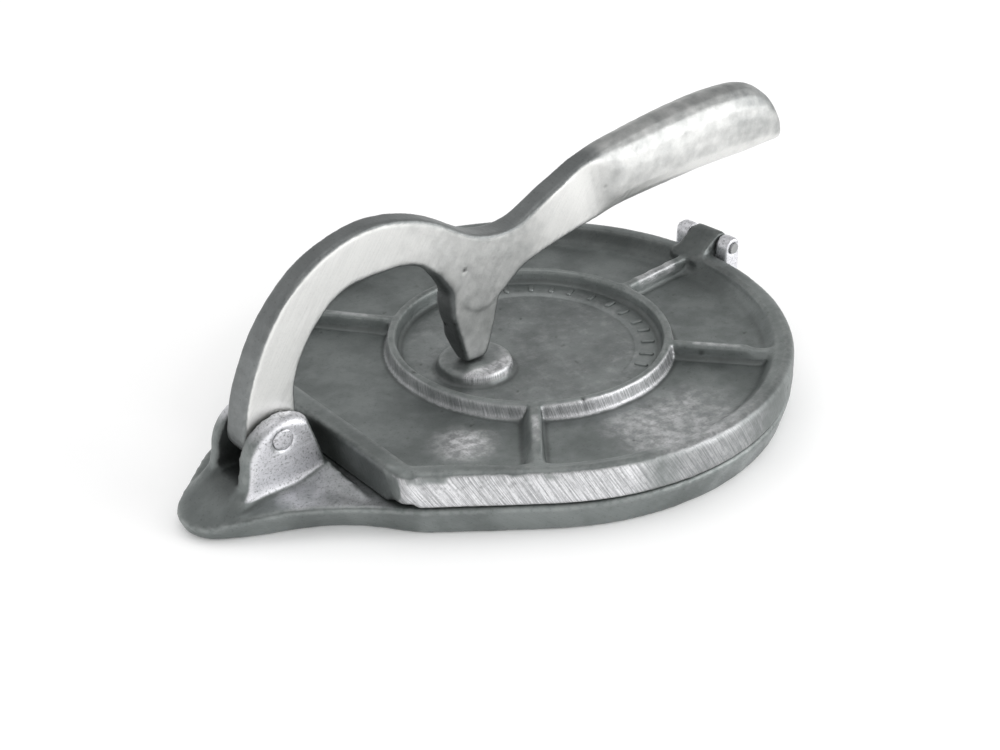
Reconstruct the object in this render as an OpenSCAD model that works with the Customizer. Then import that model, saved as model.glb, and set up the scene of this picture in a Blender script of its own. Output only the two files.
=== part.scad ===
// Tortilla press in cast aluminium: two round plates hinged at the back and closed by a lever.
// X runs from the lever's pivot (-) to the rear hinge (+), Z is up, and the origin is the
// centre of the lower plate on the plane it stands on.

/* [Plates] */
// Diameter of both round plates
plate_d = 180; // [150:1:215]
// Height of the lower plate's pressing face
base_h = 10.8; // [9:0.1:14]
// Height of the upper plate from its pressing face to the top of its rim
lid_h = 12.2; // [10:0.1:16]
// Thickness of the upper plate's floor
lid_floor = 6.2; // [4:0.1:7.5]
// Gap between the two pressing faces when closed
plate_gap = 0.3; // [0.2:0.05:1]
// Draft of the lower plate's side, from top to bottom
base_draft = 2.6; // [0:0.1:4]

/* [Rim, ring and ribs of the upper plate] */
// Width of the rim's flat top
rim_w = 7; // [5:0.1:9]
// Reach of the cove between the rim and the floor
rim_cove = 6; // [3:0.1:8]
// Outer radius of the raised ring
ring_r = 49; // [40:0.1:55]
// Width of the ring's top
ring_w = 2.8; // [2:0.1:5]
// How far the ring's centre lies from the plate's centre, towards the lever's pivot
ring_shift = 1; // [0:0.1:3]
// Width of a rib's top
rib_w = 3; // [2:0.1:5]
// Draft of the ring's and the ribs' sides, each side
rib_draft = 0.8; // [0:0.1:1.5]
// How much further the near front rib's foot spreads on its front side
near_rib_spread = 2; // [0:0.1:3]
// Angle between the lever's plane and the two front ribs
front_rib_angle = 128; // [110:1:140]
// Angle between the lever's plane and the near rear rib
side_rib_angle = 48; // [35:1:75]
// Angle between the lever's plane and the far rear rib
far_rib_angle = 67; // [50:1:90]
// Radius of the pressure boss under the lever's foot
boss_r = 12.6; // [9:0.1:16]
// Height of the pressure boss above the floor
boss_h = 4.4; // [2:0.1:5]
// Distance of the boss from the plate's centre, towards the lever's pivot
boss_shift = 25; // [15:0.5:30]
// Height of the plain raised band inside the ring
band_h = 0.8; // [0.4:0.1:1.5]
// Width of the plain raised band
band_w = 8.6; // [5:0.1:12]
// Half of the angle that the raised band spans
band_angle = 72; // [40:1:85]

/* [Tongue and pivot ears] */
// Distance from the plate's edge to the centre of the tongue's round nose
nose_reach = 37; // [30:1:45]
// Radius of the tongue's nose
nose_r = 14.5; // [13:0.5:18]
// Height of the side of the nose
nose_h = 5; // [4:0.1:8]
// How far the tongue's flanks curve inward at the top
waist = 2.6; // [0:0.1:4]
// How much further they curve inward at the bottom
waist_draft = 3.2; // [0:0.1:5]
// Height of the mound that carries the ears
mound_h = 14.2; // [12:0.1:15]
// Distance from the plate's edge to the lever's pivot
pivot_reach = 19.3; // [17:0.1:24]
// Height of the lever's pivot
pivot_z = 27.9; // [26:0.1:32]
// Radius of the ears' round tops
ear_r = 14.4; // [12.5:0.1:16]
// Drop from the pivot to the centre of that round
ear_drop = 7.4; // [5:0.1:9]
// How far the ears' front edge flares forward at the foot
ear_flare = 1.8; // [0:0.1:3]
// Thickness of each pivot ear
ear_t = 5.8; // [4:0.1:8]
// Width of the slanted edge round the ears' outer faces
ear_ease = 1.9; // [0.5:0.1:3]
// Gap between the backs of the ears and the upper plate's straight edge
ear_back_gap = 3; // [1:0.1:5]
// Radius of the lever's pivot pin
pivot_pin_r = 3; // [2.5:0.1:4]

/* [Lever] */
// Thickness of the lever's flat bar at its lower end
bar_t = 11.5; // [9:0.1:15]
// Thickness of the bar at the top of the arch
bar_top_t = 7.4; // [6:0.1:11]
// Radius of the rounding along the bar's edges
bar_round = 1.3; // [0.8:0.1:2]
// Radius of the lever's eye round the pivot
eye_r = 10; // [8:0.1:11.5]
// Height of the arch's top above the pivot
arch_rise = 56.5; // [50:0.1:70]
// Depth of the arch, from its outer edge to its inner edge
arch_depth = 17.3; // [14:0.1:21]
// Length of the foot's tip along the lever
foot_l = 7.6; // [5:0.1:10]
// Thickness of the foot's tip across the lever
foot_t = 5.2; // [4:0.1:9]
// Distance from the foot to the end of the grip
grip_reach = 141; // [120:1:170]
// Height of the grip's section
grip_depth = 27; // [22:0.5:31]
// Thickness of the grip's section
grip_t = 17; // [14:0.5:22]

/* [Rear hinge] */
// Distance from the plate's edge to the hinge pin's axis
hinge_reach = 4.7; // [4.6:0.1:8]
// Height of the hinge pin's axis
hinge_z = 25.2; // [25:0.1:32]
// Angle of the hinge and its rib round the plate, as cast a little off the lever's plane
hinge_angle = 5.7; // [0:0.1:8]
// Width of the upper plate's hinge lug
lug_w = 12.4; // [9:0.1:18]
// Radius of the lug's knuckle
lug_r = 4.3; // [3.8:0.1:6]
// Thickness of each hinge ear
hinge_ear_t = 5.8; // [4:0.1:8]
// Radius of the hinge ears' round tops
hinge_ear_r = 4; // [3.6:0.1:4.5]
// Radius of the hinge pin
hinge_pin_r = 2; // [1.6:0.1:2.4]

/* [Underside] */
// Depth of the pockets under the lower plate
pocket_h = 3; // [2:0.1:6.5]
// Thickness of the wall round the pockets, at the bottom
foot_rim = 6; // [4:0.1:9]
// Thickness of the ribs under the lower plate
web_t = 4; // [3:0.1:6]
// Number of ribs under the lower plate
web_count = 6; // [4:1:10]
// Radius of the hub in the middle of those ribs
hub_r = 15; // [10:0.5:25]

/* [Fits] */
// Radial clearance of a pin in the part that turns on it
run_fit = 0.06; // [0.02:0.01:0.1]
// Radial clearance drawn where a pin is pressed into its ears
press_fit = 0.02; // [0.01:0.01:0.04]
// Side clearance between a turning part and its ears, each side
side_gap = 0.4; // [0.3:0.05:1]
// Gap between the lever's foot and the boss
foot_gap = 0.3; // [0.2:0.05:0.6]

/* [Hidden] */
$fn = 96;
plate_r = plate_d / 2;
lid_z = base_h + plate_gap;
lid_top = lid_z + lid_h;
floor_z = lid_z + lid_floor;
boss_x = -boss_shift;
boss_top = floor_z + boss_h;
nose_x = -(plate_r + nose_reach);
pivot_x = -(plate_r + pivot_reach);
hinge_x = plate_r + hinge_reach;
ear_gap = bar_t + 2 * side_gap;
ears_w = ear_gap + 2 * ear_t;
hinge_gap = lug_w + 2 * side_gap;
hinge_w = hinge_gap + 2 * hinge_ear_t;
lid_cut_x = -plate_r - 0.3;
ears_back_x = lid_cut_x - ear_back_gap;
pin_sink = 0.7;
step_angle = 3;

// Shapes of cast bodies

// Smooth curve through the points p, with steps points for each stretch between two of them
function curve(p, steps = 6) = let(last = len(p) - 1) [
    for (i = [0:last - 1], k = [0:steps - 1])
        let(a = p[max(i - 1, 0)], b = p[i], c = p[i + 1], d = p[min(i + 2, last)], t = k / steps)
        b + 0.5 * t * (c - a + t * (2 * a - 5 * b + 4 * c - d + t * (3 * b - a - 3 * c + d))),
    p[last]
];

// Skin over rings of points, each anticlockwise seen from the end of the last ring
module loft(rings) {
    n = len(rings[0]);
    m = len(rings);
    polyhedron(
        points = [for (r = rings) each r],
        faces = [
            [for (i = [0:n - 1]) i],
            [for (i = [n - 1:-1:0]) (m - 1) * n + i],
            for (k = [0:m - 2], i = [0:n - 1]) let(j = (i + 1) % n) each [
                [k * n + i, (k + 1) * n + i, (k + 1) * n + j],
                [k * n + i, (k + 1) * n + j, k * n + j]
            ]
        ]
    );
}

// Plan of a plate with its tongue: a disc and a nose joined by tangents, moved inward by d,
// with flanks that curve inward by w and a straight cut across at x = cut. The middle one of
// a flank's points lies on the cut, so that its corner is sharp.
function plate_plan(d, w, cut = -1000) = let(
    turn = acos((plate_r - nose_r) / nose_x),
    big = plate_r - d,
    small = nose_r - d,
    disc_end = big * [cos(turn), sin(turn)],
    nose_start = [nose_x, 0] + small * [cos(turn), sin(turn)],
    side = [cos(turn), sin(turn)],
    disc_steps = ceil(2 * turn / step_angle),
    nose_steps = 14,
    flank_steps = 16,
    at_cut = cut < nose_x ? 0.5 : (cut - disc_end[0]) / (nose_start[0] - disc_end[0]),
    flank = [for (k = [1:flank_steps - 1]) let(
        h = 2 * k / flank_steps,
        t = h < 1 ? h * at_cut : at_cut + (h - 1) * (1 - at_cut),
        bow = t < 0.35 ? 0 : (t - 0.35) / 0.65)
        disc_end + t * (nose_start - disc_end) - side * w * pow(sin(180 * pow(bow, 0.85)), 2)],
    all = [
        for (k = [0:disc_steps]) let(a = -turn + 2 * turn * k / disc_steps) big * [cos(a), sin(a)],
        each flank,
        for (k = [0:nose_steps]) let(a = turn + 2 * (180 - turn) * k / nose_steps)
            [nose_x, 0] + small * [cos(a), sin(a)],
        for (k = [len(flank) - 1:-1:0]) [flank[k][0], -flank[k][1]]
    ]
) [for (q = all) [max(q[0], cut), q[1]]];

// The outline p as a ring at height z
function at_z(p, z) = [for (q = p) [q[0], q[1], z]];

// Lower plate

module base_shell() {
    top = 1.2;
    loft([
        at_z(plate_plan(base_draft + 0.9, waist + waist_draft), 0),
        at_z(plate_plan(base_draft, waist + waist_draft), 0.9),
        at_z(plate_plan(0.2, waist), base_h - top),
        at_z(plate_plan(0.4, waist), base_h - top / 3),
        at_z(plate_plan(top, waist), base_h)
    ]);
}

// The wedge over the nose that the tongue's sloping top leaves out
module nose_relief() {
    past_pivot = 8;
    spare = 20;
    nose_l = nose_reach + nose_r - pivot_reach;
    slope = atan((base_h - nose_h) / (nose_l - past_pivot));
    translate([nose_x - nose_r, 0, nose_h])
        rotate([0, -slope, 0])
            translate([-spare, -nose_r * 2, 0])
                cube([spare + nose_l + past_pivot, nose_r * 4, base_h * 2]);
}

// Sloping mound from the nose up to the feet of the ears
module mound() {
    hull() {
        translate([nose_x, 0, nose_h - 1])
            cylinder(r = nose_r - 1, h = 1, $fn = 32);
        translate([pivot_x - ear_r + 1, -ears_w / 2, nose_h])
            cube([ear_r * 2 - 2, ears_w, mound_h - nose_h]);
    }
}

// Low ramp from the back corner of an ear out to the edge of the plate, on one side
module ramp() {
    side = plate_side(ears_back_x) - 1;
    inner = ears_w / 2 - 1;
    low = base_h - 1;
    ramp_l = 12;
    dot = 0.4;
    hull()
        for (p = [
            [ears_back_x, inner, low], [ears_back_x, inner, mound_h],
            [ears_back_x, side, low], [ears_back_x, side, base_h - 2 * dot],
            [ears_back_x - ramp_l, inner, low], [ears_back_x - ramp_l, inner, base_h]
        ])
            translate(p)
                cube(dot);
}

// Half width of the tongue's top where it crosses x
function plate_side(x) = let(turn = acos((plate_r - nose_r) / nose_x))
    (plate_r - x * cos(turn)) / sin(turn) - waist / sin(turn);

// Side view of a pivot ear, with X and Z as the sheet's axes
module ear_profile() {
    top = [pivot_x + 1.3, pivot_z - ear_drop];
    foot_z = base_h - 2;
    back_slope = 18;
    difference() {
        union() {
            translate(top)
                circle(ear_r);
            polygon([
                [top[0] - ear_r, top[1]], [top[0] - ear_r - ear_flare, mound_h - 2],
                [top[0] - ear_r - ear_flare, foot_z], [ears_back_x, foot_z], [ears_back_x, top[1]]
            ]);
        }
        translate([ears_back_x, mound_h])
            rotate(back_slope)
                square([ear_r * 2, ear_r * 3]);
        translate([ears_back_x, 0])
            square([ear_r, ear_r * 3]);
        translate([top[0] - ear_r * 2, foot_z - ear_r * 2])
            square([ear_r * 4, ear_r * 2]);
    }
}

// The two ears, plain inside the slot and narrowed along the edge of their outer faces
module pivot_ears() {
    top = [pivot_x + 1.3, pivot_z - ear_drop];
    for (side = [0, 1])
        mirror([0, side, 0])
            translate([0, -ear_gap / 2, 0])
                rotate([90, 0, 0]) {
                    linear_extrude(ear_t - ear_ease)
                        ear_profile();
                    translate([top[0], top[1], ear_t - ear_ease])
                        linear_extrude(ear_ease, scale = 1 - ear_ease / ear_r)
                            translate(-top)
                                ear_profile();
                }
}

// Two ears and their foot, in the frame turned to the hinge
module hinge_ears() {
    root_l = 12;
    foot_z = 1;
    for (side = [-1, 1])
        translate([0, side * (hinge_gap + hinge_ear_t) / 2 + hinge_ear_t / 2, 0])
            rotate([90, 0, 0])
                linear_extrude(hinge_ear_t) {
                    translate([hinge_x, hinge_z])
                        circle(hinge_ear_r);
                    translate([hinge_x - hinge_ear_r, foot_z])
                        square([2 * hinge_ear_r, hinge_z - foot_z]);
                }
    translate([plate_r - root_l, -hinge_w / 2, foot_z])
        cube([hinge_reach + hinge_ear_r + root_l, hinge_w, base_h - 1 - foot_z]);
}

// Pockets under the plate and the tongue, between the ribs
module underside_pockets() {
    translate([0, 0, -1])
        linear_extrude(pocket_h + 1)
            difference() {
                polygon(plate_plan(base_draft + foot_rim, waist + waist_draft));
                circle(hub_r);
                for (k = [0:web_count - 1])
                    rotate((k + 0.5) * 360 / web_count)
                        translate([0, -web_t / 2])
                            square([plate_r, web_t]);
                translate([-plate_r - web_t / 2, -plate_r])
                    square([web_t, plate_d]);
            }
}

module base() {
    color("darkgray")
        difference() {
            union() {
                difference() {
                    base_shell();
                    nose_relief();
                }
                mound();
                ramp();
                mirror([0, 1, 0])
                    ramp();
                pivot_ears();
                rotate(hinge_angle)
                    hinge_ears();
            }
            underside_pockets();
            across(pivot_x, pivot_z, pivot_pin_r + press_fit, ears_w + 2);
            rotate(hinge_angle)
                across(hinge_x, hinge_z, hinge_pin_r + press_fit, hinge_w + 2);
            for (side = [-1, 1])
                translate([pivot_x, side * (ears_w / 2 + pin_sink), pivot_z])
                    rotate([side * 90, 0, 0])
                        cylinder(r1 = pivot_pin_r + 2 * pin_sink, r2 = pivot_pin_r, h = 2 * pin_sink);
        }
}

// A rod across the press, along Y
module across(x, z, r, length) {
    translate([x, 0, z])
        rotate([90, 0, 0])
            cylinder(r = r, h = length, center = true);
}

// Upper plate

module lid_shell() {
    top = 2;
    loft([
        at_z(plate_plan(0.8, 0, lid_cut_x), lid_z),
        at_z(plate_plan(0.1, 0, lid_cut_x), lid_z + 0.9),
        at_z(plate_plan(0.3, 0, lid_cut_x), lid_top - top),
        at_z(plate_plan(0.9, 0, lid_cut_x), lid_top - top / 3),
        at_z(plate_plan(top, 0, lid_cut_x), lid_top)
    ]);
}

// The hollow inside the rim, with a cove round its floor
module rim_hollow() {
    depth = lid_top - floor_z;
    loft([
        for (a = [0, 25, 50, 70, 90]) let(d = rim_w + rim_cove * (1 - sin(a)))
            at_z(plate_plan(d, 0, lid_cut_x + d), floor_z + depth * (1 - cos(a))),
        at_z(plate_plan(rim_w, 0, lid_cut_x + rim_w), lid_top + 1)
    ]);
}

// A drafted rib from the ring out to the rim, at the given angle, whose foot may spread on one side
module rib(angle, spread = 0) {
    root = -0.5;
    top = lid_top - floor_z - 0.5;
    half = rib_w / 2;
    foot = half + rib_draft;
    start = ring_r - ring_w / 2;
    translate([-ring_shift, 0, floor_z])
        rotate([0, 0, angle])
            translate([start, 0, 0])
                rotate([90, 0, 90])
                    linear_extrude(plate_r - rim_w / 2 - start)
                        polygon([[-foot - spread, root], [foot, root], [foot, 0],
                            [half, top], [-half, top], [-foot - spread, 0]]);
}

// The raised ring, drafted on both sides and eased along its top
module ring() {
    inner = ring_r - ring_w;
    root = -1;
    top = lid_top - floor_z - 0.1;
    ease = 0.7;
    translate([-ring_shift, 0, floor_z])
        rotate_extrude()
            polygon([
                [inner - rib_draft, root], [ring_r + rib_draft, root], [ring_r + rib_draft, 0],
                [ring_r, top - ease], [ring_r - ease, top],
                [inner + ease, top], [inner, top - ease], [inner - rib_draft, 0]
            ]);
}

// Round pad that the lever's foot presses on
module boss() {
    translate([boss_x, 0, floor_z])
        rotate_extrude()
            polygon([[0, -0.5], [boss_r + 0.8, -0.5], [boss_r + 0.5, 0.4],
                [boss_r, boss_h - 1], [boss_r - 0.9, boss_h], [0, boss_h]]);
}

// Plain raised band along the inside of the ring
module band() {
    outer = ring_r - ring_w - 0.2;
    translate([-ring_shift, 0, floor_z - 0.5])
        rotate([0, 0, -band_angle])
            rotate_extrude(angle = 2 * band_angle)
                translate([outer - band_w, 0])
                    square([band_w, band_h + 0.5]);
}

// Lug that reaches back and up from the rim to the hinge pin
module hinge_lug() {
    root = plate_r - rim_w - 2;
    translate([0, lug_w / 2, 0])
        rotate([90, 0, 0])
            linear_extrude(lug_w) {
                translate([hinge_x, hinge_z])
                    circle(lug_r);
                polygon([
                    [root, floor_z - 2], [plate_r - 1, floor_z - 2],
                    [hinge_x + lug_r * sin(30), hinge_z - lug_r * cos(30)],
                    [hinge_x - lug_r * sin(35), hinge_z + lug_r * cos(35)],
                    [root, lid_top - 0.5]
                ]);
            }
}

module lid() {
    rib_angles = [-side_rib_angle, hinge_angle, far_rib_angle, front_rib_angle];
    color("gray")
        difference() {
            union() {
                resize([0, 0, 0])
                    difference() {
                        lid_shell();
                        rim_hollow();
                    }
                ring();
                for (a = rib_angles)
                    rib(a);
                rib(-front_rib_angle, near_rib_spread);
                boss();
                band();
                rotate(hinge_angle)
                    hinge_lug();
            }
            rotate(hinge_angle)
                across(hinge_x, hinge_z, hinge_pin_r + run_fit, lug_w + 2);
        }
}

// Lever

lever_span = boss_x - pivot_x;
grip_mid = 54.8;
grip_top = grip_mid + grip_depth / 2;
grip_low = grip_mid - grip_depth / 2;
grip_end = grip_reach - 1.2;

// A point of the arch: the share of the way from the pivot to the foot, and of the rise
function arch(f, h) = [pivot_x + f * lever_span, pivot_z + h * arch_rise];

// A point given by its distance from the foot and its height above the boss
function from_foot(x, z) = [boss_x + x, boss_top + z];

// A point given by its distance back from the end of the grip and its height above the boss
function from_end(x, z) = from_foot(grip_end - x, z);

// A section of the lever: its outer and inner point, its half thickness, and the rounding of
// its corners across and along
function section(u, l, half, across, along) = [u[0], u[1], l[0], l[1], half, across, along];

// Section of the flat bar, which is thinner towards the top of the arch
function bar_section(u, l) = let(rise = (u[1] + l[1]) / 2 - pivot_z + eye_r)
    section(u, l, (bar_t - (bar_t - bar_top_t) * rise / (arch_rise + eye_r)) / 2, bar_round, bar_round);

// Oval section of the grip, full where the share is 1
function grip_section(u, l, share = 1) =
    section(u, l, share * grip_t / 2, 0.9 * share * grip_t / 2, 0.42 * norm(u - l));

// Level section of the foot at a height above the boss, from its left to its right side
function foot_section(z, left, right, half) =
    section(from_foot(left, z), from_foot(right, z), half, bar_round, bar_round);

// The ring of points round a section, a rectangle with rounded corners
function section_ring(s) = let(
    mid = [s[0] + s[2], s[1] + s[3]] / 2,
    up = [s[0] - s[2], s[1] - s[3]] / 2,
    high = norm(up),
    half = s[4],
    across = min(s[5], 0.9 * half),
    along = min(s[6], 0.9 * high),
    steps = 4
) [for (q = [0:3], k = [0:steps]) let(
    a = 90 * (q + k / steps),
    y = (q == 0 || q == 3 ? 1 : -1) * (half - across) + across * cos(a),
    h = ((q < 2 ? 1 : -1) * (high - along) + along * sin(a)) / high
) [mid[0] + up[0] * h, y, mid[1] + up[1] * h]];

// Bar and grip in one sweep: the eye's round end, the arch, the saddle over the foot and the grip
module lever_sweep() {
    sections = concat(
        [for (a = [80:-20:20]) bar_section(
            arch(0, 0) + eye_r * [-cos(a), -sin(a)],
            arch(0, 0) + eye_r * [cos(a), -sin(a)]
        )],
        curve([
            bar_section(arch(0, 0) - [eye_r, 0], arch(0, 0) + [eye_r, 0]),
            bar_section(arch(-0.082, 0.27), arch(0.125, 0.25)),
            bar_section(arch(0.04, 0.63), arch(0.22, 0.5)),
            bar_section(arch(0.235, 0.89), arch(0.351, 0.66)),
            bar_section(arch(0.487, 1), arch(0.513, 1 - arch_depth / arch_rise)),
            bar_section(arch(0.738, 0.93), arch(0.721, 0.643)),
            bar_section(from_foot(-4.7, 48.8), from_foot(-11, 26.6)),
            bar_section(from_foot(4, 45.9), from_foot(-2, 19)),
            bar_section(from_foot(11, 45.3), from_foot(6.5, 22.6)),
            bar_section(from_foot(18, 46.8), from_foot(17, 29.4)),
            bar_section(from_foot(26.3, 51), from_foot(29, 33)),
            bar_section(from_foot(36, 55.6), from_foot(40, 35.4)),
            bar_section(from_foot(46, 59.8), from_foot(51, 37.4)),
            grip_section(from_foot(62, grip_top - 4), from_foot(65, grip_low - 2.3), 0.86),
            grip_section(from_end(42, grip_top), from_end(42, grip_low)),
            grip_section(from_end(19, grip_top - 0.6), from_end(20, grip_low + 0.2)),
            grip_section(from_end(8, grip_top - 6.5), from_end(9, grip_low + 0.7), 0.95),
            grip_section(from_end(2.6, grip_top - 15), from_end(3, grip_low + 1), 0.8),
            grip_section(from_end(0, grip_top - 23.5), from_end(0.8, grip_low + 1.4), 0.5)
        ], 4)
    );
    loft([for (s = sections) section_ring(s)]);
}

// Foot that tapers from under the saddle to its tip on the boss
module lever_foot() {
    tip = -2;
    ease = 0.7;
    loft([for (s = curve([
        foot_section(foot_gap, tip - foot_l / 2 + ease, tip + foot_l / 2 - ease, foot_t / 2 - ease),
        foot_section(foot_gap + 1.2, tip - foot_l / 2, tip + foot_l / 2, foot_t / 2),
        foot_section(12, -9.2, 4, 3.6),
        foot_section(21, -12.2, 6, 4.2),
        foot_section(27, -13, 8.6, 4.2),
        foot_section(36, -9, 6, 3.2)
    ], 3)) section_ring(s)]);
}

module lever() {
    color("silver")
        difference() {
            resize([0, 0, 0]) {
                lever_sweep();
                lever_foot();
            }
            across(pivot_x, pivot_z, pivot_pin_r + run_fit, bar_t + 2);
        }
}

module lever_pin() {
    color("lightgray")
        across(pivot_x, pivot_z, pivot_pin_r, ears_w - 0.4);
}

module hinge_pin() {
    color("lightgray")
        rotate(hinge_angle)
            across(hinge_x, hinge_z, hinge_pin_r, hinge_w + 1);
}

base();
lid();
lever();
lever_pin();
hinge_pin();
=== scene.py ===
# %% [markdown]
# # A hand press for tortillas, cast in aluminium
# The real press is three sand castings on two rods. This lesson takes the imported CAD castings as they
# are, gives them the soft corners, pits and lumps that a sand mould leaves, and paints them with two
# finishes: the dull skin that comes out of the sand, and the bright metal where a grinder has been over
# it.

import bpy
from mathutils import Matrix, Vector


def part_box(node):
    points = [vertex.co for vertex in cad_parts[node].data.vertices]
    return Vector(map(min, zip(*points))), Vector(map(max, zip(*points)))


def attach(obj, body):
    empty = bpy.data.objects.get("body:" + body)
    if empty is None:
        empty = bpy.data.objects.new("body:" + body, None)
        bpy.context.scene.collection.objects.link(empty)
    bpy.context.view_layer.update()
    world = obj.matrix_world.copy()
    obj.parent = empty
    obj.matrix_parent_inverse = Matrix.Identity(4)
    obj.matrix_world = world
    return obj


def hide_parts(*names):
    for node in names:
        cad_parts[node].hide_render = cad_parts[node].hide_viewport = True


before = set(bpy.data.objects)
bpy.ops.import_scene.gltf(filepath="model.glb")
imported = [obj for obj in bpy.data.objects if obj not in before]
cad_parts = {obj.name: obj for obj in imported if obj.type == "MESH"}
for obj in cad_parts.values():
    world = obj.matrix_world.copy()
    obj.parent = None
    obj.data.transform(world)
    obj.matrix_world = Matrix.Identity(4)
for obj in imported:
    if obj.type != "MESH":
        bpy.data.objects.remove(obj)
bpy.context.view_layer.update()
print("castings and rods:", sorted(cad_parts))

# %% The tools of the lesson
import math

import bmesh
import bpy
import numpy as np
from mathutils import Matrix, Vector, noise

MM = 0.001
scene = bpy.context.scene
scene.view_settings.view_transform = "Standard"
print("working in Blender", bpy.app.version_string)

# %% [markdown]
# ## Sizes
# These are the sizes of the CAD model that the finishes need: where the rim's side is, how high its top
# stands, where its straight edge runs and where the lever turns. They are in millimetres, as a maker
# would say them, and Blender gets metres.

# %% Sizes in millimetres
PLATE_R = 90
BASE_TOP = 10.8
FLOOR_Z = 17.3
RIM_TOP = 23.3
BOSS_X, BOSS_R, BOSS_TOP = -25, 12.6, 21.7
RING_X, RING_R = -1, 49
# The straight edge by the ears, half its length, and the straight flank that leads to its near corner
CUT_X, CUT_HALF = -90.3, 44.5
FLANK_START, FLANK_WAY = (-53.5, -72.3), (-0.804, 0.595)
PIVOT = Vector((-109.3, 0, 27.9))
# How wide the meshes of each skin's net are. The export thins a piece of more than 200,000 triangles
BASE_NET, LID_NET, LEVER_NET = 0.89, 0.87, 0.6
print("plates are", 2 * PLATE_R, "mm across")

# %% [markdown]
# ## Camera
# The view was solved from the round plates of the photograph: 30.6 degrees above the table, 40 degrees
# round from the front, 632 mm away through a lens of 64.8 mm. The aim lies a little off the plate's
# centre, which the two small turns make.

# %% Camera
HEIGHT_ANGLE, ROUND_ANGLE, DISTANCE = math.radians(30.56), math.radians(40), 632.04
SIDE_TURN, UP_TURN = math.radians(-1.01), math.radians(0.40)
LENS, SENSOR = 64.8, 36

eye = DISTANCE * Vector((
    -math.cos(HEIGHT_ANGLE) * math.sin(ROUND_ANGLE),
    -math.cos(HEIGHT_ANGLE) * math.cos(ROUND_ANGLE),
    math.sin(HEIGHT_ANGLE),
))
ahead = -eye.normalized()
right = ahead.cross(Vector((0, 0, 1))).normalized()
up = right.cross(ahead)
ahead, right = (
    ahead * math.cos(SIDE_TURN) + right * math.sin(SIDE_TURN),
    right * math.cos(SIDE_TURN) - ahead * math.sin(SIDE_TURN),
)
ahead, up = (
    ahead * math.cos(UP_TURN) + up * math.sin(UP_TURN),
    up * math.cos(UP_TURN) - ahead * math.sin(UP_TURN),
)
camera = bpy.data.objects.new("camera", bpy.data.cameras.new("camera"))
camera.data.lens, camera.data.sensor_width = LENS, SENSOR
camera.matrix_world = Matrix.Translation(eye * MM) @ Matrix((right, up, -ahead)).transposed().to_4x4()
scene.collection.objects.link(camera)
scene.camera = camera
print("camera at", [round(v) for v in eye], "mm")

# %% [markdown]
# ## Nodes and colours
# Every finish is a small tree of shader nodes. One helper adds a node, sets what it is told and links
# what it is given. Colours are written as sRGB hex, as a paint chart has them, and one function turns
# them to the linear values that the renderer counts with.

# %% Helpers for finishes
def add(tree, kind, inputs=None, **settings):
    """Adds a node. inputs gives a number, a colour or another node's output for an input's name or number."""
    made = tree.nodes.new(kind)
    for name, value in settings.items():
        setattr(made, name, value)
    for name, value in (inputs or {}).items():
        if isinstance(value, bpy.types.NodeSocket):
            tree.links.new(value, made.inputs[name])
        else:
            made.inputs[name].default_value = value
    return made


def linear(hex_colour):
    """The linear colour of an sRGB hex value."""
    parts = [int(hex_colour[i:i + 2], 16) / 255 for i in (1, 3, 5)]
    return [p / 12.92 if p <= 0.04045 else ((p + 0.055) / 1.055) ** 2.4 for p in parts] + [1]


def per_metre(mm):
    """Noise scale for a pattern whose lumps are mm wide."""
    return 1 / (mm * MM)


def seen_directly(tree):
    """1 for the camera's rays, also by way of a mirror or glass, and 0 for rays that gather light."""
    rays = add(tree, "ShaderNodeLightPath").outputs
    seen = rays["Is Camera Ray"]
    for kind in ("Is Glossy Ray", "Is Transmission Ray"):
        seen = add(tree, "ShaderNodeMath", {0: seen, 1: rays[kind]}, operation="ADD").outputs[0]
    return seen


print("a mid grey of #7a7d7b is", [round(v, 3) for v in linear("#7a7d7b")[:3]], "in linear light")

# %% [markdown]
# ## The skin of a sand casting
# A sand mould can't hold a sharp corner, so every edge of a casting is a little round and its faces are
# never quite flat. A voxel remesh lays an even net over the CAD solid, and a few rounds of smoothing draw
# its corners in by about half a millimetre, which a bevel can't do on a mesh this dense. The even net
# also carries the lumps and pits that follow.

# %% Helper that lays a skin over a casting
def cast_skin(name, node, voxel, rounds, flats=()):
    """A new piece over a CAD node: an even net of voxel millimetres, smoothed for some rounds."""
    shape = bmesh.new()
    shape.from_mesh(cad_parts[node].data)
    bmesh.ops.remove_doubles(shape, verts=shape.verts, dist=0.001 * MM)
    for level in flats:
        # A wide flat face with a wavy outline comes folded over its own edge, so it is filled anew
        flat = [f for f in shape.faces if all(abs(v.co.z - level * MM) < 0.01 * MM for v in f.verts)]
        bmesh.ops.delete(shape, geom=flat, context="FACES")
        rim = [e for e in shape.edges if e.is_boundary]
        bmesh.ops.triangle_fill(shape, use_beauty=True, edges=rim)
    bmesh.ops.recalc_face_normals(shape, faces=shape.faces)
    mesh = bpy.data.meshes.new(name)
    shape.to_mesh(mesh)
    shape.free()
    piece = bpy.data.objects.new(name, mesh)
    scene.collection.objects.link(piece)
    net = piece.modifiers.new("net", "REMESH")
    net.mode, net.voxel_size, net.use_smooth_shade = "VOXEL", voxel * MM, True
    soften = piece.modifiers.new("soften", "SMOOTH")
    soften.factor, soften.iterations = 0.5, rounds
    done = bpy.data.meshes.new_from_object(piece.evaluated_get(bpy.context.evaluated_depsgraph_get()))
    piece.modifiers.clear()
    piece.data = done
    return piece


# %% Helpers that read and write a net of points
def points(mesh):
    """The points of a mesh in millimetres."""
    flat = np.empty(3 * len(mesh.vertices), np.float32)
    mesh.vertices.foreach_get("co", flat)
    return flat.reshape(-1, 3).astype(float) / MM


def normals(mesh):
    flat = np.empty(3 * len(mesh.vertices), np.float32)
    mesh.vertex_normals.foreach_get("vector", flat)
    return flat.reshape(-1, 3).astype(float)


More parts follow.
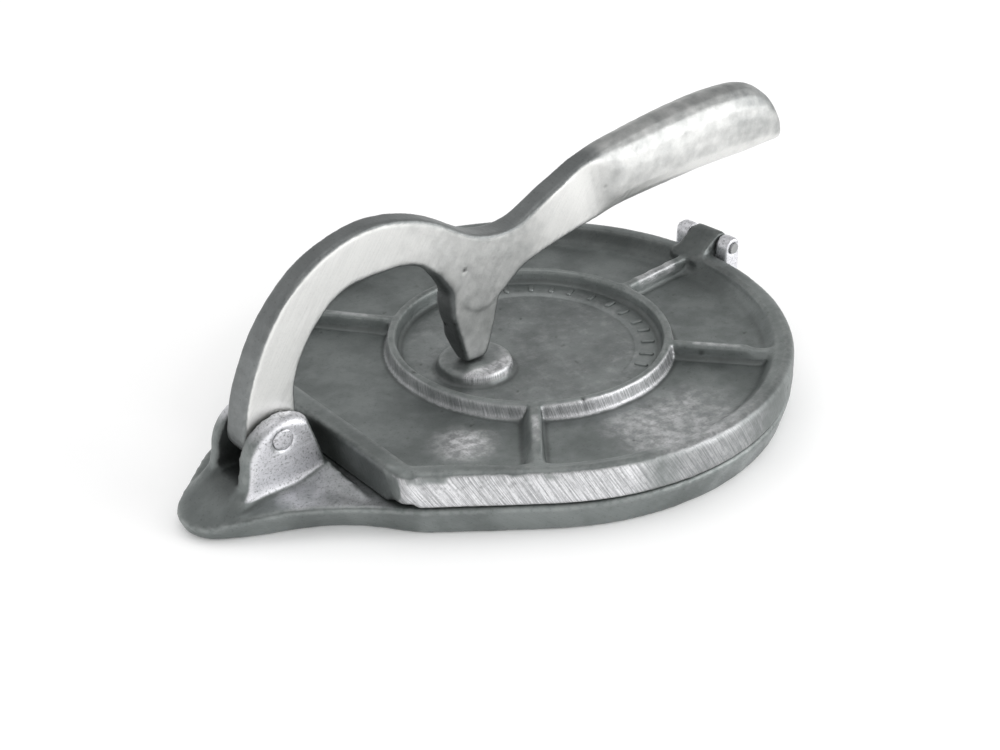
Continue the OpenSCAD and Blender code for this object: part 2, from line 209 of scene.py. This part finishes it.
def set_points(mesh, at):
    mesh.vertices.foreach_set("co", (at * MM).astype(np.float32).ravel())
    mesh.update()


def edges(mesh):
    flat = np.empty(2 * len(mesh.edges), np.int32)
    mesh.edges.foreach_get("vertices", flat)
    return flat.reshape(-1, 2)


def spread(values, pairs, times):
    """Each point's value averaged with its neighbours', so many times over."""
    a, b = pairs.T
    count = np.bincount(pairs.ravel(), minlength=len(values))
    for _ in range(times):
        columns = [
            np.bincount(a, column[b], len(values)) + np.bincount(b, column[a], len(values))
            for column in values.T
        ]
        values = (np.stack(columns, 1) / count[:, None] + values) / 2
    return values


def step(value, start, end):
    """0 before start, 1 after end and a smooth ramp between them."""
    t = np.clip((value - start) / (end - start), 0, 1)
    return t * t * (3 - 2 * t)


def lumps(at, size, seed):
    """Smooth noise from about -1 to 1 whose lumps are size millimetres wide."""
    return np.array([noise.noise(p) for p in (at / size + seed * 17.3).tolist()])


# %% Helper that softens a place
def relax(piece, weight, times):
    """Draws a skin smooth where weight says, as a file or a worn pattern would."""
    mesh = piece.data
    at = points(mesh)
    set_points(mesh, at + (spread(at, edges(mesh), times) - at) * weight(*at.T)[:, None])


# %% [markdown]
# ## Lumps, pits and what the shader has to know
# Each skin gets broad lumps, a fine unevenness and some pits, all pushed along the surface. Four things
# are then stored in the mesh for the shader: how far a face was ground, with painted light and shade on
# some faces; where the corners and creases are; how deep a point lies in a pit, with painted shade and
# some other darkening added; and coordinates whose first axis runs along the grinder's strokes.

# %% Helper that ages a skin
def weather(piece, node, ground, shade_and_darkening, strokes, pits, lump=0.12, seed=0):
    """Roughens a skin and stores the shader's masks. The three functions for the ground mask, the darkening
    and the strokes take points and normals; the first also brings painted light and the second painted shade.
    """
    mesh = piece.data
    at, out, pairs = points(mesh), normals(mesh), edges(mesh)
    bulge = ((at - spread(at, pairs, 8)) * out).sum(1)
    flat_out = spread(out, pairs, 3)
    bright, dark = spread(np.stack([ground(at, flat_out), shade_and_darkening(at, flat_out)], 1), pairs, 2).T
    depth = np.zeros(len(at))
    for x, y, z, radius, deep in pits:
        away = np.linalg.norm(at - [x, y, z], axis=1) / radius
        depth += deep * np.clip(1 - away ** 2, 0, 1) ** 1.5
    rough = 1 - 0.75 * bright
    push = rough * (lump * lumps(at, 11, seed) + 0.45 * lump * lumps(at, 3.4, seed + 1)) - depth
    low, high = (np.array(corner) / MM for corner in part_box(node))
    set_points(mesh, np.clip(at + out * push[:, None], low, high))
    # The pit mask darkens the pits and adds the pieces' painted shade and other darkening
    for name, values in {
        "ground": bright,
        "corner": np.clip(bulge / 0.2, -1, 1),
        "pit_and_shade": np.clip(depth / 0.4 + dark, 0, 1),
    }.items():
        mesh.attributes.new(name, "FLOAT", "POINT").data.foreach_set("value", values.astype(np.float32))
    mesh.attributes.new("strokes", "FLOAT_VECTOR", "POINT").data.foreach_set(
        "vector", strokes(at, flat_out).astype(np.float32).ravel()
    )
    print(piece.name, len(mesh.polygons), "faces,", round(100 * float(bright.mean())), "% ground")


def turned(a, b, angle, c):
    """Stroke coordinates in the plane of a and b, turned by angle degrees, with c across."""
    turn = math.radians(angle)
    return np.stack([a * math.cos(turn) + b * math.sin(turn), b * math.cos(turn) - a * math.sin(turn), c], 1)


def scatter(seed, count, low, high, radius, deep):
    """Small pits at random places of a box, each with its radius and depth."""
    pick = np.random.default_rng(seed)
    return [
        (*pick.uniform(low, high), size, deep * pick.uniform(0.5, 1))
        for size in pick.uniform(*radius, count)
    ]


# %% [markdown]
# ## Aluminium from the sand and from the grinder
# Both finishes are the same metal, so metallic stays 1 and the IOR stays at its default. Sand leaves a
# dull grey oxide skin with a fine grain and darker specks where it burned on. A grinding belt takes the
# skin off and leaves bright, slightly smoother metal with strokes. The mask of the last step chooses
# between them, with noise on its border, because a grinder never stops on a line, and on some faces it
# also carries painted light and shade. Corners get lighter, as edge wear and a painted highlight, and
# creases get painted shade. A pixel of the view is a third of a millimetre wide, so two patterns are
# drawn coarser than they are: moulding sand is nearer 0.3 mm and a belt's strokes are finer still.

# %% Helper that makes the finish of a casting
# Sizes of the patterns in millimetres, and how many strokes a millimetre holds along, across and through
MOTTLE, GRAIN, SPECK, WEAR_AND_HIGHLIGHT, RAGGED = 18, 0.9, 0.8, 2.2, 5
STROKES_PER_MM = (0.07, 2.0, 0.3)


def cast_aluminium(name, skin, skin_dark, bright, bright_dark, specks=0.0, cut=0.35, seed=0):
    """Sand-cast aluminium whose ground places are bright. The four colours are sRGB hex. specks is how
    strong the dots in the ground metal are, cut how deep the strokes go, and seed moves the patterns."""
    finish = bpy.data.materials.new(name)
    finish.use_nodes = True
    tree = finish.node_tree
    metal = tree.nodes["Principled BSDF"]
    where = add(tree, "ShaderNodeTexCoord").outputs["Object"]
    here = add(tree, "ShaderNodeVectorMath", {0: where, 1: (seed, 0, 0)}, operation="ADD").outputs[0]

    def mask(attribute):
        return add(tree, "ShaderNodeAttribute", attribute_name=attribute).outputs

    def pattern(size, detail=3, at=here, roughness=0.55):
        return add(tree, "ShaderNodeTexNoise", {
            "Vector": at, "Scale": per_metre(size), "Detail": detail, "Roughness": roughness,
        }).outputs["Fac"]

    def ramp(value, start, end, low=0.0, high=1.0):
        return add(tree, "ShaderNodeMapRange", {
            "Value": value, "From Min": start, "From Max": end, "To Min": low, "To Max": high,
        }, interpolation_type="SMOOTHSTEP").outputs[0]

    def maths(operation, a, b):
        return add(tree, "ShaderNodeMath", {0: a, 1: b}, operation=operation).outputs[0]

    def mix(share, a, b):
        return add(tree, "ShaderNodeMix", {0: share, 6: a, 7: b}, data_type="RGBA").outputs[2]

    # Strokes: about 14 mm long on the grinder's path and half a millimetre apart
    path = add(tree, "ShaderNodeVectorMath", {
        0: mask("strokes")["Vector"], 1: STROKES_PER_MM,
    }, operation="MULTIPLY")
    strokes = add(tree, "ShaderNodeTexNoise", {
        "Vector": path.outputs[0], "Scale": 1.0, "Detail": 4, "Roughness": 0.65,
    }).outputs["Fac"]

    mottle = pattern(MOTTLE, 5)
    grain = pattern(GRAIN, 2)
    skin_colour = mix(ramp(mottle, 0.35, 0.65), linear(skin_dark), linear(skin))
    skin_colour = mix(ramp(grain, 0.58, 0.74, 0, 0.22), skin_colour, linear("#3f4140"))
    ground_colour = mix(ramp(strokes, 0.36, 0.64), linear(bright_dark), linear(bright))
    speck = ramp(pattern(SPECK, 4, roughness=0.7), 0.5, 0.66, 0, specks)
    ground_colour = mix(speck, ground_colour, linear("#6a6b6c"))

    # The border of the ground places breaks up over a few millimetres
    ragged = maths("MULTIPLY", maths("SUBTRACT", pattern(RAGGED, 4), 0.5), 0.4)
    border = maths("ADD", mask("ground")["Fac"], ragged)
    ground = ramp(border, 0.2, 0.9)
    # The ground mask also brings the painted light and shade that the pieces lay on some faces
    colour = mix(ground, skin_colour, ground_colour)
    # Convex corners turn lighter: edge wear together with a painted highlight
    corner = mask("corner")["Fac"]
    wear_and_highlight = maths("MULTIPLY", ramp(corner, 0.25, 0.9), ramp(pattern(WEAR_AND_HIGHLIGHT, 3), 0.35, 0.6))
    colour = mix(maths("MULTIPLY", wear_and_highlight, 0.15), colour, linear("#c4c6c4"))
    # Creases turn darker as painted shade, and the pit mask darkens the pits and brings the pieces' painted
    # shade
    crease = ramp(corner, -0.15, -0.9)
    shade_and_pits = maths("MAXIMUM", maths("MULTIPLY", crease, ramp(ground, 0, 0.6, 0.4, 0.1)), mask("pit_and_shade")["Fac"])
    colour = mix(shade_and_pits, colour, linear("#2e302f"))

    roughness = maths("ADD", ramp(ground, 0, 1, 0.52, 0.46), ramp(strokes, 0.3, 0.7, -0.06, 0.06))
    grain_height = maths("MULTIPLY", grain, ramp(ground, 0, 1, 1, 0.25))
    stroke_height = maths("MULTIPLY", maths("MULTIPLY", strokes, cut), ground)
    height = maths("ADD", grain_height, stroke_height)
    bump = add(tree, "ShaderNodeBump", {"Strength": 0.5, "Distance": 0.15 * MM, "Height": height})
    for socket, value in {"Base Color": colour, "Roughness": roughness, "Normal": bump.outputs[0]}.items():
        tree.links.new(value, metal.inputs[socket])
    metal.inputs["Metallic"].default_value = 1
    return finish


def dress(piece, finish, node, body):
    """Gives a new piece its finish and lets it stand for its CAD node."""
    piece.data.materials.clear()
    piece.data.materials.append(finish)
    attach(piece, body)
    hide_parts(node)


# %% [markdown]
# ## The lower plate
# The lower plate is the roughest of the three: its side was only touched, and both pairs of ears were
# filed. The side grows lighter towards the front right, partly as painted light, and the slot between
# the ears gets painted shade. Its tongue keeps the dark skin, which gives the eye a dull, cloudy grey
# beside the bright ears.

# %% Lower plate
def round_strokes(angle):
    """Strokes round a plate's side, turned by an angle, and soft clouds on its flat faces."""
    def strokes(at, out):
        around = np.arctan2(at[:, 1], at[:, 0]) * PLATE_R
        side = turned(around, at[:, 2], angle, np.hypot(at[:, 0], at[:, 1]))
        top = np.stack([4 * at[:, 0], 0.14 * at[:, 1], at[:, 2]], 1)
        return np.where(np.abs(out[:, 2:]) > 0.7, top, side)
    return strokes


def base_ground_and_painted_light(at, out):
    x, y, z = at.T
    # The side grows lighter towards the front right: partly a light grinding and partly painted light where
    # the lamp falls
    side = 0.35 * step(np.hypot(x, y), 86, 88) * step(-out[:, 2], -0.4, 0.1) * step(x, -60, 20)
    ear_faces = step(np.abs(out[:, 1]), 0.6, 0.85) * step(np.abs(y), 9.5, 10.5)
    ears = 0.95 * ear_faces * step(z, BASE_TOP + 0.1, 12) * (x < -84)
    ear_tops = 0.8 * step(z, 25, 34) * step(out[:, 2], 0.2, 0.7) * (x < -88)
    near_ears = step(-y, 11, 14) * step(-x, 86, 92) * step(x, -122, -112)
    shelf = 0.55 * near_ears * step(out[:, 2], 0.6, 0.9)
    rear_ears = 1.0 * step(z, 14, 17) * (x > 80)
    return np.maximum.reduce([side, ears, ear_tops, shelf, rear_ears])


def base_painted_shade(at, out):
    """Painted shade in the slot between the ears."""
    x, y, z = at.T
    return 0.55 * step(-np.abs(y), -8, -6) * step(-x, 94, 96) * step(z, 9, 14)


base = cast_skin("lower_plate", "base", BASE_NET, 4, flats=(0, BASE_TOP))
# The tongue's edges were drawn soft on the pattern
relax(base, lambda x, y, z: 0.8 * step(-x, 98, 104) * step(-z, -15, -13), 10)
weather(base, "base", base_ground_and_painted_light, base_painted_shade, round_strokes(-35), [
    (-127, 5, 7, 1.5, 0.7),
    *scatter(3, 30, (-122, -13, 12), (-88, -11, 36), (0.4, 0.8), 0.15),
], seed=1)
# Sand-cast and hardly touched: a dull, cloudy grey, with bright ears that the specks keep grainy
sand_cast = cast_aluminium(
    "sand_cast_aluminium", skin="#909594", skin_dark="#7c8180", bright="#ececf0", bright_dark="#e2e2e6",
    specks=0.6, cut=0.15, seed=0.31,
)
dress(base, sand_cast, "base", "base")

# %% [markdown]
# ## The upper plate
# Its rim was run against a belt, which left long slanting strokes on the side: the brightest place of the
# press after the lever. The tops of the ring and ribs and the pad under the lever were only touched; the
# ring's wall is painted brighter where it faces the front right, and the pad's front right is painted
# lighter as a painted reflection. The floor keeps the mottled skin of the sand, with two clouds of painted
# light where the lamp's light pools on it. The straight edge and the cove of the far side get painted shade.

# %% Upper plate
def lid_ground_and_painted_light(at, out):
    x, y, z = at.T
    far = np.hypot(x, y)
    belted = 0.1 + 0.9 * step(-x, 12, 38) * (y < 0)
    # The belt missed hollows below the top edge near the straight edge
    missed = 0.75 * step(z, 18.5, 21.5) * step(lumps(at, 3.6, 7), 0.0, 0.3) * step(-x, 46, 54)
    belted *= 1 - missed
    upright = step(-np.abs(out[:, 2]), -0.75, -0.5)
    side = belted * step(far, 88, 89) * upright * (x > CUT_X + 1)
    from_ring = np.hypot(x - RING_X, y)
    off_ring = (out[:, 0] * (x - RING_X) + out[:, 1] * y) / from_ring
    # Painted light: the ring's wall turns brighter where it faces the front right, towards the lamp
    front = step(-out[:, 1], 0.5, 0.8) * step(x, -32, -22)
    ring_wall = step(from_ring, RING_R - 1, RING_R) * step(-far, -56, -54) * step(off_ring, 0.35, 0.6)
    ring = (0.62 + 0.5 * front) * ring_wall
    inner = 0.34 * step(-from_ring, -44, -42)
    on_pad = np.hypot(x - BOSS_X, y) < BOSS_R + 1
    pad_top = on_pad * step(out[:, 2], 0.7, 0.95) * step(z, BOSS_TOP - 0.8, BOSS_TOP - 0.3)
    # Painted reflection: the pad's front right is lighter than its left, which mirrors the lever's dark foot
    pad = (0.3 + 0.3 * step(x - y, -20, -8)) * pad_top
    pad_lip = 0.9 * on_pad * step(z, FLOOR_Z + 1, FLOOR_Z + 2) * step(-y, 5, 8)
    # Painted light: two soft pools of light on the floor towards the front right
    floor_light_pool = 0.85 * np.exp(-((x + 58) ** 2 + (y + 36) ** 2) / 12 ** 2)
    near_floor = 0.6 * step(-y, 40, 62) * step(x, -35, -10) * step(-x, -60, 0)
    on_ribs = step(far, 54, 56) * step(-far, -74, -70)
    ribs = 0.6 * on_ribs * step(z, FLOOR_Z + 3, FLOOR_Z + 4) * step(out[:, 2], 0.6, 0.9)
    on_rear_rib = step(far, 53, 55) * step(-far, -77, -73) * (x > 15) * (y > 0)
    rear_rib = 0.6 * on_rear_rib * step(z, FLOOR_Z + 1.5, FLOOR_Z + 3)
    return np.maximum.reduce([side, ring, inner, pad, pad_lip, floor_light_pool, near_floor, ribs, rear_rib])


def lid_shade_and_darkening(at, out):
    """Painted shade on the straight edge by the ears and in the cove of the rim's far side, with the rim's
    side darker at the front right and the lug's top darker.
    """
    x, y, z = at.T
    far = np.hypot(x, y)
    outward = (out[:, 0] * x + out[:, 1] * y) / far
    plain = 0.22 * step(x, -28, -8) * step(far, 88, 89) * (y < 0)
    # Painted shade on the straight edge and in the cove of the far side
    cut = 0.3 * step(-x, 87, 88.5) * step(-out[:, 0], 0.5, 0.8)
    cove = 0.55 * step(-outward, 0.1, 0.4) * step(far, 74, 76) * step(0.5 * x + 0.85 * y, 5, 60)
    lug = 0.25 * step(x, 86, 88) * step(z, RIM_TOP, RIM_TOP + 1)
    return np.maximum.reduce([plain, cut, cove, lug])


def cut_corners(x, y, z):
    """The two corners of the straight edge."""
    return step(-np.hypot(x - CUT_X, np.abs(y) - CUT_HALF), -7, -4)


def rim_front(x, y, z):
    """The inner edge of the rim's front."""
    far = np.hypot(x, y)
    return 0.8 * step(-y, 30, 50) * step(far, 73, 77) * step(-far, -87, -85) * step(z, 18, 20)


lid = cast_skin("upper_plate", "lid", LID_NET, 4)
relax(lid, cut_corners, 50)
relax(lid, rim_front, 40)
weather(lid, "lid", lid_ground_and_painted_light, lid_shade_and_darkening, round_strokes(-58), [
    *((FLANK_START[0] + FLANK_WAY[0] * s, FLANK_START[1] + FLANK_WAY[1] * s, z, size, deep)
      for s, _, z, size, deep in scatter(11, 30, (2, 0, 18.5), (42, 0, RIM_TOP), (0.6, 1.3), 0.16)),
    *scatter(5, 90, (-80, -80, FLOOR_Z - 0.5), (80, 80, FLOOR_Z + 0.5), (0.6, 1.2), 0.25),
    *scatter(6, 40, (-55, -55, FLOOR_Z + 1), (55, 55, RIM_TOP), (0.6, 1.5), 0.4),
], seed=5)
# Cast and run against a belt: the same grey, with a bright side whose strokes can be seen one by one
dressed_cast = cast_aluminium(
    "belt_dressed_cast_aluminium", skin="#929796", skin_dark="#7d8281", bright="#f0f0f2",
    bright_dark="#adaeb0", specks=0.3, cut=0.35, seed=0.73,
)
dress(lid, dressed_cast, "lid", "lid")

# %% [markdown]
# ## The lever
# The lever's flat sides were ground bright from the pivot to the grip, while the edges that face up and
# down keep the grey skin; the middle of the bar's sides is drawn less bright as painted shade, and the
# foot's edge that faces the pivot gets painted shade. The grip is an oval that was gone over lightly all
# round, so it shines softly and a little unevenly. Its foot swells on the far side and towards the grip
# more than the CAD's flat sections do, so the skin is drawn out there and filed smooth.

# %% Lever
def lever_ground_and_painted_shade(at, out):
    x, y, z = at.T
    side = step(np.abs(out[:, 1]), 0.84, 0.96)
    # Below the bar's rounded end the foot is a little duller
    end = 41.5 + 0.06 * (x + 27) ** 2
    foot = step(end - z, -0.5, 0.8) * step(x, -44, -40) * step(-x, 6, 10)
    # Painted shade: the bar's sides are drawn less bright in their middle than at the pivot end
    bar = 1 - 0.4 * step(x, -85, -25) * step(-x, -15, 10)
    on_grip = step(x, 14, 32)
    from_above, from_below = step(out[:, 2], 0.1, 0.6), step(-out[:, 2], 0.1, 0.5)
    grip = 0.62 - 0.12 * from_above + 0.25 * from_below - 0.1 * step(x, 70, 105)
    nick = 0.8 * step(-np.linalg.norm(at - (-102, -3.5, 76), axis=1), -2.6, -1.2)
    return np.maximum((1 - on_grip) * side * np.minimum(bar, 1 - 0.2 * foot) + on_grip * grip, nick)


def lever_painted_shade(at, out):
    """Painted shade on the foot's edge that faces the pivot."""
    x, y, z = at.T
    foot_edge = step(x, -50, -46) * step(-x, 22, 27) * step(-z, -64, -58)
    return 0.42 * foot_edge * step(-np.abs(out[:, 1]), -0.75, -0.5)


def lever_strokes(at, out):
    return turned(at[:, 0], at[:, 2], 55, at[:, 1])


def foot_hollow(x, y, z):
    """The hollow between the arch and the foot."""
    return step(-np.hypot(x + 41, z - 51), -12, -6) * step(-x, 32, 37)


def foot_far_side(x, y, z):
    """The far side of the foot, up to the bar."""
    along = step(x, -50, -44) * step(-x, -8, 4)
    return step(y, 0, 3) * step(z, 30, 36) * step(-z, -64, -58) * along


lever = cast_skin("lever_casting", "lever", LEVER_NET, 4)
FAR_SWELL, BACK_SWELL = 3.8, 2.2
at = points(lever.data)
x, y, z = at.T
foot = step(62 - z, 0, 26) * step(z, 19, 30) * step(x, -54, -46) * step(-x, -6, 14)
tip = step(30 - z, 0, 8) * (x < 0)
at[:, 1] += (FAR_SWELL * foot + 0.8 * tip) * step(y, -2, 4)
at[:, 0] += (BACK_SWELL * foot + 1.4 * tip) * step(x, -30, -22)
set_points(lever.data, at)
relax(lever, foot_hollow, 70)
relax(lever, foot_far_side, 60)
weather(lever, "lever", lever_ground_and_painted_shade, lever_painted_shade, lever_strokes, [
    (-32, -5, 58, 1.1, 0.5),
    *scatter(9, 40, (-115, -6, 15), (110, -3, 92), (0.5, 1.0), 0.2),
    *scatter(10, 60, (-44, -6, 26), (-34, 8, 54), (0.7, 1.6), 0.35),
], lump=0.16, seed=9)
# Cast and ground flat: even and nearly white on the sides, dull grey on the edges
ground_cast = cast_aluminium(
    "ground_cast_aluminium", skin="#8a8d8d", skin_dark="#7c7f7f", bright="#ececea", bright_dark="#e6e6e4",
    specks=0.06, cut=0.06, seed=0.12,
)
dress(lever, ground_cast, "lever", "lever")

# %% [markdown]
# ## Dashes on the band
# The raised band inside the ring carries a row of plain short dashes, cast with the plate. Each is a
# lozenge with round ends whose top is smaller than its foot, because a pattern has to leave the sand.
# Stacked outlines give that draft, and a half-sunk first outline seats the dash in the band.

# %% Dashes on the band
def dash_outline(long, wide, steps=6):
    """Points round a bar with half-round ends, along x."""
    turn = np.linspace(-math.pi / 2, math.pi / 2, steps)
    end = np.stack([long / 2 - wide / 2 + np.cos(turn) * wide / 2, np.sin(turn) * wide / 2], 1)
    return np.concatenate([end, -end])


BAND_TOP, BAND_MIDDLE = FLOOR_Z + 0.8, 40.8
DASHES, DASH_SPAN = 12, 62
# How far each outline is drawn in, and how high it lies over the band
DASH_DRAFT = ((0, -0.4), (0.1, 0.25), (0.3, 0.5), (0.65, 0.62))
shape = bmesh.new()
pick = np.random.default_rng(21)
for angle in np.linspace(-DASH_SPAN, DASH_SPAN, DASHES):
    turn = math.radians(angle + pick.uniform(-1.5, 1.5))
    long, wide, middle = pick.uniform(4.6, 5.4), pick.uniform(1.8, 2.2), BAND_MIDDLE + pick.uniform(-0.3, 0.3)
    rings = []
    for inset, level in DASH_DRAFT:
        flat = dash_outline(long - 2 * inset, wide - 2 * inset)
        rings.append([shape.verts.new((
            (RING_X + (middle + u) * math.cos(turn) - v * math.sin(turn)) * MM,
            ((middle + u) * math.sin(turn) + v * math.cos(turn)) * MM,
            (BAND_TOP + level) * MM,
        )) for u, v in flat])
    for below, above in zip(rings, rings[1:]):
        for k in range(len(below)):
            shape.faces.new((below[k - 1], below[k], above[k], above[k - 1]))
    shape.faces.new(rings[-1])
    shape.faces.new(rings[0][::-1])
dashes = bpy.data.objects.new("band_dashes", bpy.data.meshes.new("band_dashes"))
shape.to_mesh(dashes.data)
shape.free()
dashes.data.shade_smooth()
touched = 0.3 * step(points(dashes.data)[:, 2], BAND_TOP, BAND_TOP + 0.5)
dashes.data.attributes.new("ground", "FLOAT", "POINT").data.foreach_set("value", touched.astype(np.float32))
dashes.data.materials.append(dressed_cast)
scene.collection.objects.link(dashes)
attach(dashes, "lid")
print("dashes are", round(dashes.dimensions.z / MM, 1), "mm high with their feet")

# %% [markdown]
# ## Rods
# Both rods are drawn aluminium. The hinge's rod keeps its CAD shape and only gets a finish. The lever's
# rod was hammered over at both ends, so that it can't come out: its ends are low domes with an uneven
# rim, a little askew in their holes, which leaves a dark crescent on one side.

# %% Lever's rod
rod_high = np.array(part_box("lever_pin")[1]) / MM
ROD_R, ROD_REACH, SIDES = 2.97, rod_high[1], 48
# How far the hammered ends lie to one side, and where they begin, counted from the CAD rod's end
ROD_SLIP, HAMMERED_FROM = 0.45, -0.6
# Points of a hammered end: how far they lie beyond the CAD rod's end, and their radius
END_PROFILE = ((-2.4, 2.97), (-0.9, 2.99), (-0.5, 3.5), (-0.25, 3.6), (-0.05, 3.4), (0.06, 3.0), (0.1, 1.8))
shape = bmesh.new()
rings = []
for side in (-1, 1):
    profile = END_PROFILE if side == 1 else END_PROFILE[::-1]
    for along, radius in profile:
        ring = []
        for k in range(SIDES):
            turn = 2 * math.pi * k / SIDES
            hammered = along > HAMMERED_FROM
            swell = 0.1 * math.sin(3 * turn + side) + 0.06 * math.sin(7 * turn) if hammered else 0
            wide = radius + swell * radius / ROD_R
            u, v = wide * math.cos(turn), wide * math.sin(turn)
            askew = 0.06 * u - 0.03 if hammered else 0
            slip = ROD_SLIP if hammered else 0
            ring.append(shape.verts.new((
                (PIVOT.x + u + slip) * MM, side * (ROD_REACH + along + askew) * MM, (PIVOT.z + v) * MM,
            )))
        rings.append(ring)
for one, next_one in zip(rings, rings[1:]):
    for k in range(SIDES):
        shape.faces.new((one[k - 1], one[k], next_one[k], next_one[k - 1]))
shape.faces.new(rings[0][::-1])
shape.faces.new(rings[-1])
bmesh.ops.recalc_face_normals(shape, faces=shape.faces)
rod = bpy.data.objects.new("peened_rod", bpy.data.meshes.new("peened_rod"))
shape.to_mesh(rod.data)
shape.free()
rod.data.shade_smooth()
reach = np.abs(points(rod.data)[:, 1])
rod.data.attributes.new("ground", "FLOAT", "POINT").data.foreach_set(
    "value", (0.9 * step(reach, ROD_REACH - 1, ROD_REACH - 0.4)).astype(np.float32))
scene.collection.objects.link(rod)
# Drawn rod: a light, even grey that never saw sand
rod_metal = cast_aluminium(
    "drawn_aluminium_rod", skin="#b0b1b1", skin_dark="#a2a3a3", bright="#e6e6ea", bright_dark="#dcdce0",
    specks=0.7, cut=0.1, seed=0.5,
)
dress(rod, rod_metal, "lever_pin", "base")
print("lever's rod reaches", round(float(np.abs(points(rod.data)[:, 1]).max()), 2), "mm to each side")

# %% Hinge's rod
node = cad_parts["hinge_pin"]
node.data.materials.clear()
node.data.materials.append(rod_metal)
node.data.shade_smooth()

# %% [markdown]
# ## Table and light
# The press stands on a plain pale table in front of a white wall. The table is matt, so that it takes the
# soft shadow, and it gives off a little light of its own to the camera and to what mirrors it, which
# brings it up to white away from the shadow. The lamps are a window at the front right and a weak one
# overhead.

# %% Table
TABLE_GLOW, TABLE_REACH_M = 0.14, 4


def table_finish():
    finish = bpy.data.materials.new("white_table_paper")
    finish.use_nodes = True
    tree = finish.node_tree
    tree.nodes.remove(tree.nodes["Principled BSDF"])
    seen = seen_directly(tree)
    glow = add(tree, "ShaderNodeMath", {0: seen, 1: TABLE_GLOW}, operation="MULTIPLY").outputs[0]
    paper = add(tree, "ShaderNodeBsdfDiffuse", {"Color": linear("#f2f2f2")}).outputs[0]
    light = add(tree, "ShaderNodeEmission", {"Color": (1, 1, 1, 1), "Strength": glow}).outputs[0]
    both = add(tree, "ShaderNodeAddShader", {0: paper, 1: light}).outputs[0]
    tree.links.new(both, tree.nodes["Material Output"].inputs["Surface"])
    return finish


shape = bmesh.new()
bmesh.ops.create_circle(shape, cap_ends=True, segments=64, radius=TABLE_REACH_M)
table_mesh = bpy.data.meshes.new("table")
shape.to_mesh(table_mesh)
shape.free()
table_mesh.materials.append(table_finish())
table = bpy.data.objects.new("table", table_mesh)
scene.collection.objects.link(table)
print("table is", round(table.dimensions.x, 1), "m across")

# %% Sky of the studio
FILL_LIGHT = 0.82
world = bpy.data.worlds.new("studio")
scene.world = world
world.use_nodes = True
tree = world.node_tree
toward = add(tree, "ShaderNodeTexCoord").outputs["Generated"]
upward = add(tree, "ShaderNodeSeparateXYZ", {0: toward}).outputs["Z"]
# What the metal mirrors: white walls that turn to a darker ceiling
mirrored = add(tree, "ShaderNodeMapRange", {
    "Value": upward, "From Min": 0.15, "From Max": 0.65, "To Min": 1.0, "To Max": 0.4,
}, interpolation_type="SMOOTHSTEP").outputs[0]
strength = add(tree, "ShaderNodeMapRange", {
    "Value": seen_directly(tree), "To Min": FILL_LIGHT, "To Max": mirrored,
}).outputs[0]
tree.nodes["Background"].inputs["Color"].default_value = (1, 1, 1, 1)
tree.links.new(strength, tree.nodes["Background"].inputs["Strength"])
print("the sky lights the table at", FILL_LIGHT)

# %% Lamps
for name, place, size, power in [
    ("window", (0.8, -1.0, 0.42), 1.1, 9),
    ("ceiling", (-0.1, 0.2, 1.4), 1.2, 3.5),
]:
    lamp = bpy.data.objects.new(name, bpy.data.lights.new(name, "AREA"))
    lamp.data.size, lamp.data.energy = size, power
    lamp.location = place
    lamp.rotation_euler = (-Vector(place)).to_track_quat("-Z", "Y").to_euler()
    scene.collection.objects.link(lamp)
    print(name, power, "W")
